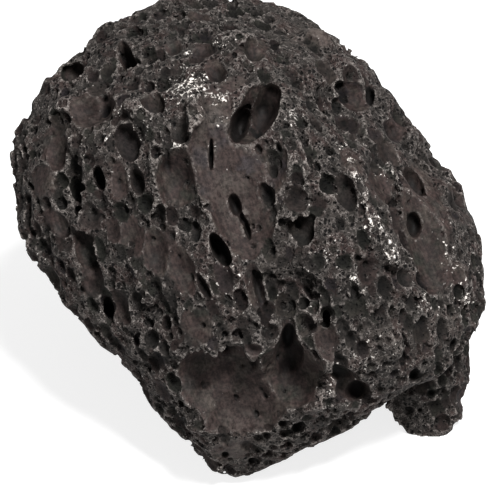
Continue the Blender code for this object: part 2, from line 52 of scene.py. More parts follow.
OUT = np.array((0.0, -math.cos(LEAN), math.sin(LEAN)))
VIEW_DISTANCE = 562.5                           # mm, from where the face's places are read

RIM = [                                         # the face's edge: across, up, out
    (-71, 6, 3), (-71, 33, -2), (-62, 52, -4), (-45, 66, -6), (-27, 75, -8), (-8, 77, -12),
    (8, 75, -14), (22.2, 66.6, -10), (38.3, 54.5, -10), (47.7, 41.8, -10), (56.4, 25.7, -12),
    (63.9, 19, -6), (68.4, 3.9, 4), (69, -16.5, 6), (65, -26.5, 8), (56, -35, 18), (40, -42, 20),
    (27, -49, 17), (15, -56, 12), (7, -62, 8), (-2, -70, 1), (-11, -67, 6), (-22, -51, 13),
    (-37, -33, 14), (-49, -21, 13), (-63, -4, 8),
]
RIDGES = [                                      # what stands out on the face
    (-14, 29, 38), (-42, 33, 27), (-56, 20, 18), (-38, -3, 29), (-28, -24, 30), (-14, -14, 37),
    (-12, -50, 25), (-2, 56, 26), (17, 56, 14), (24, 30, 34), (34, 9, 37), (24, -16, 39),
    (50, 10, 20), (50, -22, 27), (32, -32, 34), (14, -48, 26), (-30, 55, 14),
]
BACK = [                                        # behind and below: x, y, z
    (-36, 12, -3), (-46, 36, -3), (-16, 56, -3), (26, 52, -3), (52, 30, -3), (58, 6, -3),
    (30, -16, -3), (-5, -45, -3), (-19, -14, -3), (-66, 22, 46), (-58, 54, 52), (-20, 70, 48),
    (26, 68, 44), (60, 44, 46), (70, 14, 40), (-48, 40, 84), (-10, 58, 92), (34, 50, 86),
    (4, 76, 34), (-38, 66, 22), (42, 61, 16), (-54, 44, 12), (14, 67, 72), (-34, 60, 76),
]
LOBE = [                                        # the lobe at the lower right
    (67, -24, -12), (69, -40, -18), (66, -54, -18), (58, -61, -18), (48, -58, -17),
    (41, -48, -12), (56, -34, -4), (64, -50, -14), (44, -30, -40), (66, -20, -44), (60, -20, -12),
    (50, -50, -36), (62, -46, -42),
]
# Ridges, ledges and knobs: across, up, half sizes, turn, how far they stand out
BUMPS = [
    (-16, 33, 4.5, 14, 4, 2.6), (14, 24, 5, 15, 12, 2.2), (20, -26, 4, 13, 22, 3.2),
    (2, -27, 3.5, 8, 0, 2.0), (-30, 40, 9, 4, -25, 2.2), (-47, 28, 3.5, 8, 15, 2.2),
    (-28, 24, 2.6, 8, 10, 2.0), (-14, -22, 3.4, 12, 20, 2.4), (-33, -6, 4, 12, 15, 2.0),
    (20, 62, 6, 4.5, -30, 4.0), (28, 53, 7, 5, -35, 3.0), (39, 44, 6, 5, -45, 3.0),
    (48, 33, 4, 6, 15, 3.0), (58, 18, 5, 4, 0, 3.0), (32, 20, 2.4, 10.5, 22, 2.4),
    (40.5, 2, 2.6, 9.5, 27, 2.8), (33, -12, 6, 8, 20, 2.4), (41, -27, 5, 7, 35, 2.6),
    (24, 4, 5, 8, 5, 2.0), (-8, -52, 10, 3.5, 8, 2.4), (22, -45, 8, 3, 22, 2.4),
    (62, -10, 4, 8, 5, 3.0), (-55, 42, 6, 4, 20, 2.6), (-4, 62, 9, 5, -5, 2.4),
]
# Dents, the broad shallow valleys between the ridges: across, up, half sizes, turn, depth
DENTS = [
    (-3, 22, 12, 21, 8, 3.5), (12, -14, 10, 9.5, 5, 6), (-21.5, 14, 5.5, 15, 10, 3.5),
    (41, 23, 5, 10, 25, 4), (30, 45, 8, 6.5, -20, 4), (52, 8, 8.5, 19, 10, 4),
    (-5, -45, 14, 15, 8, 4), (-58, 20, 8, 14, 5, 2.5), (-32, -22, 8, 10, 25, 3),
    (20, -42, 6, 5, -10, 2),
]
# Calm stretches, where the skin is smooth and holds few bubbles: across, up, half sizes, turn
CALM = [
    (-3, 25, 9.5, 13, 6), (-2.5, 13, 6.5, 11, 12), (-11.5, 31, 4, 7, 0), (-10.5, 42.5, 5.5, 8, 0),
    (-6.5, 49.5, 6, 2.2, 25), (-49, 43, 5.6, 4.2, 0), (-21.5, -5, 4.2, 9, 20),
    (-28.5, 0, 3.6, 6, 0), (-16.5, -23, 4.8, 6.6, 0), (53, 10, 7.2, 18, 10),
    (56, -7.5, 5.4, 5.2, 0), (63, -7.5, 3.4, 4, 0), (-59, 31, 4, 6.4, 5), (-14, 60, 3.6, 2.8, 0),
    (-23, 61, 2.8, 2.8, 0), (-10.5, 54, 3, 4, 30), (2, 60.5, 3, 4.5, -15), (-39.5, 21, 3, 6, 5),
    (43.5, 36, 3.4, 4, 0), (21, 64.5, 4.2, 3.3, -30), (-62, 20, 4.5, 6, 0),
    (-47.5, -11, 3.6, 3.6, 30), (-58.5, 8.5, 3, 5, 35), (39, 19, 4.5, 6, 10),
    (30.5, 27, 3, 4.6, 30), (-5, -42.5, 12, 14, 8), (11.4, -37, 8.5, 11, 5),
    (29.5, -41, 6, 4, -28), (-5, -60, 7, 3.6, 10),
]
# Where the middle of the ellipsoid lies that a hollow is cut with, as a share of its reach: DISH
# above the surface, CUP on it, POCKET below it
DISH, CUP, POCKET = -0.6, 0.0, 0.35
# The lumps in three sizes that the solid has too, then two of broken stone: spacing, height in mm
LUMPS = [(26, 1.5), (11, 1.0), (5, 0.6), (2.3, 0.24), (1.2, 0.1)]
LUMP_SEED, LATTICE = 11, 48                     # the heights repeat after so many each way
CALM_REACH, CALM_EDGE = 40, 1.6                 # mm that a calm stretch reaches in, and fades over
CALM_LUMPS, CALM_DROP = 6, 0.5                  # mm: closer lumps are left out, how low it lies
LOW, HIGH = np.array((-80.0, -70.0, -4.0)), np.array((80.0, 86.0, 122.0))   # mm, the grid's ends
COARSE, FINE = 1.5, 0.45                        # mm between the grid's points
RAY_STEP, RAY_LENGTH = 0.4, 200.0               # mm between readings along a ray, and its length
RAY_START = 90.0                                # mm in front of the plane of zero


def face_place(places):
    """Rows (across, up, out) in the part's frame: the centre plus each times its direction."""
    return CENTRE + np.atleast_2d(places) @ np.array((ACROSS, UP, OUT))


def grid_lines(spacing):
    """The grid's coordinates along x, y and z: LOW plus whole numbers of the spacing."""
    return [np.arange(low, high, spacing) for low, high in zip(LOW, HIGH)]


def hull_field(corners, lines):
    """The convex hull round the corners, as the largest of its planes' signed distances."""
    bm = bmesh.new()
    points = [bm.verts.new(corner) for corner in corners]
    bmesh.ops.convex_hull(bm, input=points, use_existing_faces=False)
    bmesh.ops.recalc_face_normals(bm, faces=bm.faces)
    planes = [(*face.normal, face.normal.dot(face.verts[0].co)) for face in bm.faces]
    bm.free()
    x, y, z = np.ix_(*lines)
    field = np.full([len(line) for line in lines], -1e3)
    for a, b, c, far in planes:
        np.maximum(field, a * x + b * y + c * z - far, out=field)
    return field


def sample(field, spacing, points):
    """The field between grid points, weighted by how near each of the eight around is."""
    place = np.clip((points - LOW) / spacing, 0, np.array(field.shape) - 1.001)
    low = place.astype(int)
    part = place - low
    total = np.zeros(len(points))
    for corner in np.ndindex(2, 2, 2):
        share = np.prod(np.where(corner, part, 1 - part), axis=1)
        total += share * field[tuple((low + corner).T)]
    return total


def nearest(field, points):
    """The field at the nearest grid point."""
    place = np.rint((points - LOW) / FINE).astype(int)
    return field[tuple(np.clip(place, 0, np.array(field.shape) - 1).T)]


def first_hit(field, spacing, start, ray):
    """Where each ray first enters the stone: the field is read every RAY_STEP along it, and the
    place is put on the straight line between the last reading outside and the first inside."""
    steps = np.arange(0.0, RAY_LENGTH, RAY_STEP)
    points = start[:, None] + steps[:, None] * ray[:, None]
    values = sample(field, spacing, points.reshape(-1, 3)).reshape(points.shape[:2])
    row = np.arange(len(start))
    after = np.maximum(np.argmax(values < 0, axis=1), 1)
    outside, inside = values[row, after - 1], values[row, after]
    along = steps[after - 1] + RAY_STEP * outside / (outside - inside)
    return start + along[:, None] * ray


def seen_places(field, spacing, table):
    """For rows that start with (across, up), the stone's surface as seen from VIEW_DISTANCE in
    front of the face, and the scale there: 1 in the plane of zero, smaller nearer the eye."""
    eye = face_place((0, 0, VIEW_DISTANCE))
    aim = face_place([(row[0], row[1], 0) for row in table]) - eye
    ray = aim / np.linalg.norm(aim, axis=1)[:, None]
    places = first_hit(field, spacing, eye + (VIEW_DISTANCE - RAY_START) * ray, ray)
    return places, ((places - eye) @ OUT) / (aim @ OUT)


def turned(half_width, half_height, turn, reach):
    """An ellipsoid's axes as the columns of a matrix: across and up turned, then out."""
    c, s = math.cos(math.radians(turn)), math.sin(math.radians(turn))
    return np.column_stack(((c * ACROSS + s * UP) * half_width,
                            (c * UP - s * ACROSS) * half_height, OUT * reach))


def sunk(place, scale, half_width, half_height, turn, depth, sink):
    """The ellipsoid, as (middle, axes), whose hollow is depth deep below the place, and as wide
    there as the half sizes times the scale.  Its reach is depth over 1 + sink, its middle lies
    sink times that below the place, and its sizes are over the root of 1 - sink^2."""
    reach = depth / (1 + sink)
    size = scale / math.sqrt(1 - sink * sink)
    return place - sink * reach * OUT, turned(half_width * size, half_height * size, turn, reach)


def near(lines, middle, axes, margin=1.0):
    """The part of the grid round an ellipsoid, as slices, there the ellipsoid's distance, which
    is the length of the point in units of the axes, less one, times the mean of the axes'
    lengths, and that mean."""
    reach = np.sqrt((axes ** 2).sum(1)) + margin
    cut = tuple(slice(*np.searchsorted(line, (m - r, m + r)))
                for line, m, r in zip(lines, middle, reach))
    inverse = np.linalg.inv(axes).astype(np.float32)
    x, y, z = np.ix_(*[(line[c] - m).astype(np.float32)
                       for line, c, m in zip(lines, cut, middle)])
    square = sum((row[0] * x + row[1] * y + row[2] * z) ** 2 for row in inverse)
    mean = np.linalg.norm(axes, axis=0).mean()
    return cut, (np.sqrt(square) - 1) * mean, mean


def finer(field, spacing, lines):
    """A coarse field on the fine grid: straight-line weights along x, then y, then z."""
    for axis, line in enumerate(lines):
        place = (line - LOW[axis]) / spacing
        low = np.minimum(place.astype(int), field.shape[axis] - 2)
        weights = np.zeros((len(line), field.shape[axis]), np.float32)
        weights[np.arange(len(line)), low] = 1 - (place - low)
        weights[np.arange(len(line)), low + 1] = place - low
        field = np.moveaxis(np.tensordot(weights, field, (1, axis)), 0, axis)
    return field


def lump_field(rng, spacing, lines):
    """Smooth lumps: random heights on a lattice, blended along x, y and z by 3t^2 - 2t^3."""
    heights = rng.uniform(-1, 1, (LATTICE,) * 3).astype(np.float32)
    for axis, line in enumerate(lines):
        place = line / spacing + LATTICE / 2
        low = np.floor(place).astype(int)
        part = place - low
        weight = part * part * (3 - 2 * part)
        weights = np.zeros((len(line), LATTICE), np.float32)
        weights[np.arange(len(line)), low % LATTICE] = 1 - weight
        weights[np.arange(len(line)), (low + 1) % LATTICE] = weight
        heights = np.moveaxis(np.tensordot(weights, heights, (1, axis)), 0, axis)
    return heights


lines = grid_lines(COARSE)
block = np.minimum(hull_field(np.vstack((face_place(RIM + RIDGES), BACK)), lines),
                   hull_field(face_place(LOBE), lines))
for row, place, scale in zip(DENTS, *seen_places(block, COARSE, DENTS)):
    middle, axes = sunk(place, scale, *row[2:], DISH)
    cut, distance, _ = near(lines, middle, axes, 4 * COARSE)
    block[cut] = np.maximum(block[cut], -distance)
for (_, _, half_width, half_height, turn, height), place, scale in zip(
        BUMPS, *seen_places(block, COARSE, BUMPS)):
    axes = turned(half_width * scale, half_height * scale, turn, 2 * height)
    cut, distance, _ = near(lines, place - height * OUT, axes, 4 * COARSE)
    block[cut] = np.minimum(block[cut], distance)

lines = grid_lines(FINE)
calm = np.zeros([len(line) for line in lines], np.float32)
for (_, _, half_width, half_height, turn), place, scale in zip(
        CALM, *seen_places(block, COARSE, CALM)):
    axes = turned(half_width * scale, half_height * scale, turn, CALM_REACH)
    cut, distance, _ = near(lines, place, axes)
    calm[cut] = np.maximum(calm[cut], np.clip(-distance / CALM_EDGE, 0, 1))
block = finer(block.astype(np.float32), COARSE, lines)
rng = np.random.default_rng(LUMP_SEED)
for spacing, height in LUMPS:
    lump = height * lump_field(rng, spacing, lines)
    block -= lump * (1 - calm) if spacing < CALM_LUMPS else lump
block += CALM_DROP * calm

# The gas bubbles.  Steam and gas froze into the lava as bubbles of every size, drawn out along its
# flow, and the break and the weather opened them as pits.  Each is an ellipsoid cut from the block.
# The hollows: across, up, half sizes, turn in degrees (the top leans left), depth, sink
HOLLOWS = [
    # the long smooth wall down the middle, and the deep pit of two cells at its top
    (-4, 26.4, 12, 12.6, 6, 2.2, DISH), (-2.7, 14.4, 7.8, 14.4, 12, 2.2, DISH),
    (1.8, 41.7, 5.4, 10.6, -22, 7.5, CUP),
    (4.2, 42.6, 4.4, 9.8, -20, 11, CUP), (-2.4, 38.7, 3.4, 6.8, -22, 15, CUP),
    (-4.5, 13.5, 2.1, 3.9, 14, 6, CUP), (-2.4, 9.6, 1.1, 2.6, 14, 5, CUP),
    (-0.9, 6.6, 1, 3.8, 14, 6, CUP), (-9, 0, 2.3, 5.7, 28, 9, POCKET),
    (-11.7, 28.8, 0.7, 4.8, 0, 7, POCKET), (6, 51.6, 2.1, 1.8, 0, 2, DISH),
    (6.6, 32.4, 0.5, 1.2, 5, 2, CUP), (8.7, 30.6, 0.9, 1.8, 20, 3, CUP),
    (-0.6, 21.6, 0.5, 0.9, 0, 3, CUP),
    # the groove, and the rough hollow it borders
    (1.8, -11.1, 3.3, 8.1, 14, 3, DISH), (2.6, -11.4, 1.8, 6.6, 14, 6, CUP),
    (4.8, -18, 1, 3, 20, 4, CUP),
    (10.5, -16.5, 3, 3.6, 0, 1.8, DISH), (17.4, -12.6, 0.9, 2.7, 30, 3, CUP),
    (6.9, -12.9, 1.5, 2.4, 0, 2.5, CUP), (9.3, -10.2, 1.6, 1.2, 0, 1.6, CUP),
    # the great hollow at the foot of the face, its cleft, and the pits in its floor
    (-8.7, -41.4, 11.4, 11.4, 8, 3.4, DISH), (-2.4, -48, 11.7, 12.3, 8, 5.2, DISH),
    (11.4, -39.6, 10.8, 10.2, 10, 9.5, DISH),
    (11.7, -29.4, 2.8, 7.8, 0, 12, CUP), (11.7, -34.2, 5.4, 8.6, 0, 12, CUP),
    (-11.1, -38.1, 2.1, 3.6, 10, 2.2, DISH), (-9, -49.2, 1.5, 1.6, 20, 3, CUP),
    (-11.1, -51.9, 1.2, 1.1, 0, 2, CUP), (-6.6, -55.5, 0.9, 0.5, 0, 1.5, CUP),
    (0, -30, 4.8, 2.4, -10, 2.5, DISH),
    # the second hollow, under its overhang
    (29, -38.7, 6.6, 3.0, -38, 6, CUP), (32.4, -42.6, 4.2, 3.6, -15, 7, CUP),
    (28.2, -41.4, 2.8, 4.2, -10, 5, CUP),
    (24.6, -46.5, 2.1, 2.1, 0, 1.5, DISH),
    # upper left
    (-53.4, 53.4, 3.6, 3.1, 25, 9, POCKET), (-37.2, 57.9, 2.2, 6.6, 25, 9, POCKET),
    (-49, 43.2, 7.2, 5.6, 0, 3.5, DISH), (-44.5, 43.5, 3.2, 3.9, 0, 6, CUP),
    (-42.6, 39.9, 1.5, 1.2, 0, 2.4, CUP), (-26.1, 50.1, 2.4, 3.6, 15, 3, CUP),
    (-29.4, 44.4, 2.4, 3, 15, 3, CUP), (-36, 31.5, 2.7, 5.1, 20, 4, CUP),
    (-49.8, 34.5, 1.5, 2.4, 10, 1.5, DISH), (-58.8, 31.2, 3.6, 6, 5, 2.2, DISH),
    (-52.2, 24.9, 0.9, 0.9, 0, 2, CUP), (-28.5, 29.4, 1.5, 2.1, 0, 2.5, CUP),
    (-42.9, 55.5, 2.4, 3.6, 0, 1.5, DISH), (-47.4, 52.8, 1.8, 2.1, 0, 1.5, DISH),
    (-31.5, 58.5, 3.6, 2.7, -20, 1.4, DISH), (-30, 54.9, 0.9, 1.2, -30, 2, CUP),
    (-35.1, 65.1, 0.9, 1.5, -15, 3, CUP), (-38.1, 40.2, 1.8, 1.5, 0, 1.4, DISH),
    (-30.6, 35.1, 1.8, 2.4, 0, 1.4, DISH),
    # the top
    (-23.1, 60.9, 2.4, 2.4, 0, 1.5, DISH), (-14.1, 60, 3.3, 2.4, 0, 1.6, DISH),
    (-15, 64.5, 3, 1.8, 0, 1.4, DISH), (-21, 69.9, 1.2, 1.2, 0, 2.5, CUP),
    (-21.3, 67.5, 0.9, 0.9, 0, 1.5, CUP), (-19.2, 67.8, 0.8, 0.9, 0, 2, CUP),
    (-7.5, 66.6, 1.2, 0.9, 0, 2.5, CUP), (-10.5, 54, 2.7, 3.6, 30, 1.6, DISH),
    (1.8, 60.6, 2.7, 4.2, -15, 1.6, DISH), (7.2, 62.1, 1.5, 2.7, 5, 3, CUP),
    (-3, 64.2, 1.5, 1.2, 0, 1.5, DISH), (-3.9, 71.7, 0.9, 1.2, -30, 2.5, CUP),
    (-22.5, 56.4, 1.2, 1.2, 0, 1.2, DISH), (-18.9, 56.7, 1.2, 1.2, 0, 1.2, DISH),
    (-4.8, 58.5, 0.9, 1.5, 10, 1.6, CUP), (-12.9, 51, 0.9, 1.2, 0, 1.6, CUP),
    (-27.6, 71.4, 2.7, 2.1, 10, 2, DISH),
    # left
    (-45.3, 21.3, 1.9, 4, 15, 5, CUP), (-33.9, 20.7, 2.4, 4.2, 15, 5, CUP),
    (-51.6, 16.8, 1.3, 2.1, 0, 4, POCKET), (-51.3, 12, 1.3, 1.3, 0, 4, POCKET),
    (-39.6, 20.7, 2.7, 5.7, 5, 1.6, DISH), (-22.2, 20, 5.2, 9.4, 5, 3, DISH),
    (-24.6, 24, 2.4, 5, 5, 3.4, DISH),
    (-24.6, 27.6, 0.9, 2.4, 5, 3, CUP), (-27, 10.2, 1.8, 3.9, -4, 3.6, CUP),
    (-31.5, 14.1, 0.6, 1.5, 0, 2, CUP), (-38.4, 11.7, 2.4, 3, 0, 1.4, DISH),
    (-57.9, 8.4, 2.7, 4.5, 35, 1.8, DISH), (-66.6, 15.6, 1.8, 1.1, -40, 3, CUP),
    (-66, 19.2, 1.8, 0.9, -40, 2, CUP), (-61.5, 14.7, 0.9, 0.6, 0, 1.5, CUP),
    (-16.5, 7.2, 0.9, 1.5, 5, 2.5, CUP), (-61.5, 7.2, 0.9, 0.9, -20, 1.5, CUP),
    (-24.9, 4.2, 3.6, 4.2, 10, 1.8, DISH), (-15.9, 33.9, 1.5, 3.9, 0, 1.6, DISH),
    # lower left
    (-49.5, 0, 2.7, 2.7, 0, 4, CUP), (-47.4, -0.6, 0.8, 1.8, -10, 6, POCKET),
    (-42.6, -18, 1.6, 3.9, 12, 8, POCKET), (-39, -15.3, 2.1, 3.3, 5, 1.6, DISH),
    (-34.2, -14.1, 1.5, 1.5, 0, 1.2, DISH), (-43.8, -24.9, 2.1, 2.7, 20, 1.6, DISH),
    (-41.1, -28.2, 1.8, 2.4, 40, 1.4, DISH), (-34.2, -27.3, 1.1, 2.1, 0, 4, CUP),
    (-29.7, -27, 2.4, 3, 0, 3, CUP), (-24.9, -21.9, 1.8, 2.4, 0, 2.2, CUP),
    (-27.9, -33.9, 1.8, 3, 10, 1.6, DISH), (-14.1, -10.8, 1.5, 4.5, 28, 3, CUP),
    (-10.8, -10.5, 1.5, 3, 25, 2, DISH), (-21.6, -5.1, 3.9, 8.4, 20, 2.2, DISH),
    (-29, 0, 3.9, 7, 8, 1.8, DISH), (-37, 5, 4.5, 6.6, 20, 1.6, DISH),
    (-16.5, -22.8, 4.5, 6, 0, 1.8, DISH),
    (-18.6, -33.6, 1.5, 2.4, -10, 1.8, CUP), (-41.1, -8.7, 1.2, 1.2, 0, 1.6, CUP),
    (-47.4, -10.8, 3, 3.3, 30, 1.4, DISH), (-30.6, -21.6, 1.5, 1.2, 0, 1.6, CUP),
    (-23.4, -28.5, 1.8, 2.1, 10, 1.3, DISH),
    # the upper right ledge
    (32.1, 46.5, 5.7, 5.1, 0, 4.5, CUP), (27.3, 48.9, 2.1, 2.1, 0, 6, CUP),
    (36, 46.5, 1.5, 3.6, 0, 5, CUP), (28.5, 38.4, 1.5, 2.1, 0, 3, CUP),
    (33, 36.6, 3.3, 2.7, 0, 1.8, DISH), (18.3, 44.1, 1.8, 3, 10, 3, CUP),
    (16.8, 32.1, 0.6, 1.2, 10, 2.5, POCKET), (18, 27, 1.1, 2.1, 0, 2, CUP),
    (28.5, 18.6, 2.4, 3.6, 5, 4, CUP), (24, 19.8, 1.8, 2.4, 0, 1.6, DISH),
    (38.4, 28.8, 3.9, 1.5, 15, 4.5, CUP), (37.5, 25.2, 1.8, 2.1, 0, 2.5, CUP),
    (43.5, 36, 3, 3.6, 0, 1.8, DISH), (22.5, 41.1, 0.7, 0.7, 0, 2, POCKET),
    (21, 16.5, 0.9, 0.9, 0, 2, CUP), (19.8, 12, 2.1, 1.8, 0, 1.5, DISH),
    # the smooth wall on the right
    (53.4, 9, 6.6, 16.8, 10, 2.6, DISH), (49.3, 20.6, 3.1, 5.3, 20, 6, CUP),
    (49.5, 7.5, 2.6, 4.2, 3, 6.5, CUP), (43.5, 18, 0.8, 1.8, 0, 2, CUP),
    (42.6, 21, 0.4, 0.6, 0, 1.5, CUP), (55.5, -7.5, 4.8, 4.8, 0, 2, DISH),
    (63, -7.5, 3, 3.6, 0, 1.6, DISH), (47.1, -7.8, 3.1, 3.1, 0, 9, POCKET),
    # right of the middle
    (11.4, 7.2, 1.5, 2.4, 0, 3, CUP), (15.9, 6.6, 1.5, 3, 0, 4, CUP),
    (36, -6, 3, 3.9, -20, 1.6, DISH), (31.2, -11.4, 1.6, 1.2, 0, 2.4, CUP),
    (23.1, -20.1, 1.1, 2.4, 2, 6.5, POCKET), (22.5, -14.1, 1.2, 1.5, 0, 1.6, CUP),
    (28.5, -24, 1.1, 1.8, 5, 2.6, CUP), (31.5, -18, 1.8, 1.5, -10, 1.4, DISH),
    (15, -24.9, 0.9, 0.9, 0, 1.5, CUP), (19.2, -31.5, 1.1, 1.5, 10, 3.5, POCKET),
    (24.9, -36, 0.6, 0.6, 0, 1.6, CUP), (46.5, -15, 0.9, 0.9, 0, 2, CUP),
    (48.6, -15, 0.9, 0.9, 0, 2.4, CUP), (53.4, -14.4, 0.8, 1.2, 0, 2.4, POCKET),
    (45.9, -32.4, 1.3, 2.4, 0, 2.2, CUP), (49.5, -37.8, 1.8, 2.4, 0, 4.5, CUP),
    (45.9, -19.8, 1.2, 2.4, 0, 2, CUP), (41.4, -27.3, 1.1, 1.3, 0, 1.6, CUP),
    (46.5, -27.6, 0.7, 0.8, 0, 2.6, POCKET), (52.5, -25.5, 3, 3.9, 10, 1.4, DISH),
    (37.5, 5.4, 1.2, 1.2, 0, 1.6, CUP), (28.5, -3.6, 2.4, 2.1, 0, 1.3, DISH),
    (20.4, -3.6, 2.1, 2.7, 0, 1.3, DISH), (6, -0.6, 2.4, 3.6, 10, 1.4, DISH),
    (-3, -15, 2.7, 2.7, 0, 1.3, DISH),
    # along the lower edge
    (14.4, -53.1, 1.9, 2.7, -15, 6, POCKET), (5.4, -53.4, 1.8, 1.6, 0, 3, CUP),
    (9.9, -52.2, 1.5, 1.3, 0, 3, CUP), (10.2, -55.2, 1.5, 1.5, 0, 2.5, CUP),
    (4.8, -55.8, 1.5, 1.5, 0, 2.5, CUP), (-7.5, -61.5, 1.2, 1.3, 10, 2.6, CUP),
    (-0.9, -59.1, 1.8, 1.8, 0, 1.6, DISH), (2.4, -56.1, 0.8, 0.9, 0, 2, CUP),
    (9, -49.5, 0.9, 1.1, 0, 2, CUP), (1.5, -63.9, 1.5, 1.2, 0, 1.6, CUP),
    # on the lobe
    (54.6, -43.2, 1.6, 1.6, 0, 3, CUP), (51, -48, 0.7, 0.7, 0, 2, POCKET),
    (48, -48.6, 0.6, 0.6, 0, 1.6, POCKET), (60.9, -28.8, 1.2, 2.4, -10, 3.4, CUP),
    (62.7, -30.9, 0.9, 1.2, 0, 2.6, POCKET), (60, -36.3, 1.5, 2.1, 0, 1.6, DISH),
    (59.4, -45.6, 2.1, 2.7, 0, 1.5, DISH),
]
# Chips broken out of the edge: across, up, out, half sizes three ways, turn
CHIPS = [
    (31.5, 68, -10, 8, 4.5, 14, -42), (32.6, 62.6, -10, 6, 3.6, 14, -24),
    (56, 43.3, -10, 7, 4, 16, -50), (59, 28.4, -8, 5.5, 4.4, 14, -12),
    (33, -55, 14, 12, 3, 10, 24),
]
FLOW = -0.94 * UP + 0.34 * ACROSS               # the way the lava ran, a unit long
FLOW /= np.linalg.norm(FLOW)
SIDE = np.cross(FLOW, ACROSS)                   # a way across it
SIDE /= np.linalg.norm(SIDE)
FLOW_FRAME = np.column_stack((np.cross(SIDE, FLOW), SIDE, FLOW))
# A unit ray from the centre leads behind the face where its part along OUT is less than this
BEHIND = -0.3
BACK_STRETCH, BACK_SINKS = (1.1, 1.9), (-0.45, 0.4)     # from the least to the most
UNEVEN, UNEVEN_MOST = 0.10, 6                   # share of a bubble's radius, up to so many mm
UNEVEN_SPACING = 3.1                            # mm between lumps on its wall


def drawn_out(radius, stretch):
    """A bubble's axes as the columns of a matrix: the radius both ways across the flow, and the
    radius times the stretch along it."""
    return FLOW_FRAME * (radius, radius, radius * stretch)


def scattered(count, seed, least, most, power):
    """Bubbles behind the weathered face, each on a random ray to the block's centre: (middle,
    axes).  Radii follow a power law from the least up, and none passes the most."""
    rng = np.random.default_rng(seed)
    rays, found = [], []
    for _ in range(count):
        ray = rng.normal(size=3)
        ray /= np.linalg.norm(ray)
        radius = min(least * rng.random() ** (-1 / power), most)
        stretch = rng.uniform(*BACK_STRETCH)
        sink = rng.uniform(*BACK_SINKS)
        if ray @ OUT <= BEHIND:
            rays.append(ray)
            found.append((radius, stretch, sink))
    rays = np.array(rays)
    places = first_hit(block, FINE, CENTRE + RAY_LENGTH * rays, -rays)
    return [(place - sink * radius * ray, drawn_out(radius, stretch))
            for (radius, stretch, sink), place, ray in zip(found, places, rays)]


def listed():
    """The listed hollows and chips, as (middle, axes)."""
    found = [sunk(place, scale, *row[2:])
             for row, place, scale in zip(HOLLOWS, *seen_places(block, FINE, HOLLOWS))]
    for *place, half_width, half_height, reach, turn in CHIPS:
        found.append((face_place(place)[0], turned(half_width, half_height, turn, reach)))
    return found


def cut_bubbles(bubbles, seed):
    """Cuts each bubble out: the field becomes the larger of itself and minus the bubble's own
    distance, made uneven by a few lumps.  Wall keeps the mean radius of what cut there last, and
    tint a random number of its own."""
    tints = np.random.default_rng(seed).random(len(bubbles))
    for (middle, axes), shade in zip(bubbles, tints):
        cut, distance, mean = near(lines, middle, axes)
        hole = -distance + UNEVEN * min(mean, UNEVEN_MOST) * uneven[cut]
        deeper = hole > stone[cut]
        stone[cut] = np.where(deeper, hole, stone[cut])
        wall[cut] = np.where(deeper, mean, wall[cut])
        tint[cut] = np.where(deeper, shade, tint[cut])


rng = np.random.default_rng(21)
uneven = lump_field(rng, UNEVEN_SPACING, lines)
stone = block.copy()
wall = np.zeros(stone.shape, np.float32)
tint = np.full(stone.shape, 0.5, np.float32)
cut_bubbles(listed() + scattered(count=520, seed=5, least=1.7, most=6.5, power=1.8), 41)

# The froth of small bubbles, in three sizes: how many tries, seed, least and largest radius in
# mm, power, sinks, and the share of them on a middling bubble's wall and on calm skin
FROTH = [
    (1500, 31, 1.8, 3.8, 3.0, (-0.75, -0.2), 1.0, 0.0),
    (5500, 32, 0.85, 1.9, 2.6, (-0.5, 0.35), 0.25, 0.04),
    (12000, 33, 0.55, 0.9, 3.0, (-0.2, 0.4), 0.3, 0.10),
]
FROTH_STRETCH = (1.0, 1.8)                      # from the least to the most
FROTH_TINTS = 42                                # the seed of the first size's tints
CROWD_SPACING = 13                              # mm between lumps of thicker and thinner froth
CROWD_MEAN, CROWD_SWING, CROWD_LEAST = 0.75, 0.8, 0.15      # the share of the tries that is kept
MIDDLING, BIG, LARGE = 1.8, 4.2, 12             # mm, mean radius from which a bubble is called so
BIG_SHARE = 0.4                                 # the share kept on a big one's wall
CALM_FROM = 0.4                                 # the calm from which a place counts as calm
SLOPE_STEPS = 2                                 # grid steps each way that a slope is read over
BASE_ROOM = 1.0                                 # mm above the base with no froth


def surface_cells(field, count, rng):
    """Random places where the field changes sign between neighbours, as points in mm, with the
    field's slope there, which points out of the stone."""
    inside = field < 0
    found = []
    for axis in range(3):
        low = [slice(SLOPE_STEPS, -SLOPE_STEPS - 1)] * 3
        high = list(low)
        high[axis] = slice(SLOPE_STEPS + 1, -SLOPE_STEPS)
        found.append(np.flatnonzero(inside[tuple(low)] != inside[tuple(high)]))
    chosen = rng.choice(np.concatenate(found), count, replace=False)
    shape = [size - 2 * SLOPE_STEPS - 1 for size in field.shape]
    place = np.array(np.unravel_index(chosen, shape)).T + SLOPE_STEPS
    slope = np.empty((count, 3))
    for axis in range(3):
        step = np.eye(3, dtype=int)[axis] * SLOPE_STEPS
        slope[:, axis] = field[tuple((place + step).T)] - field[tuple((place - step).T)]
    slope /= np.linalg.norm(slope, axis=1)[:, None] + 1e-9
    points = LOW + place * FINE
    points -= slope * field[tuple(place.T)][:, None]
    return points, slope


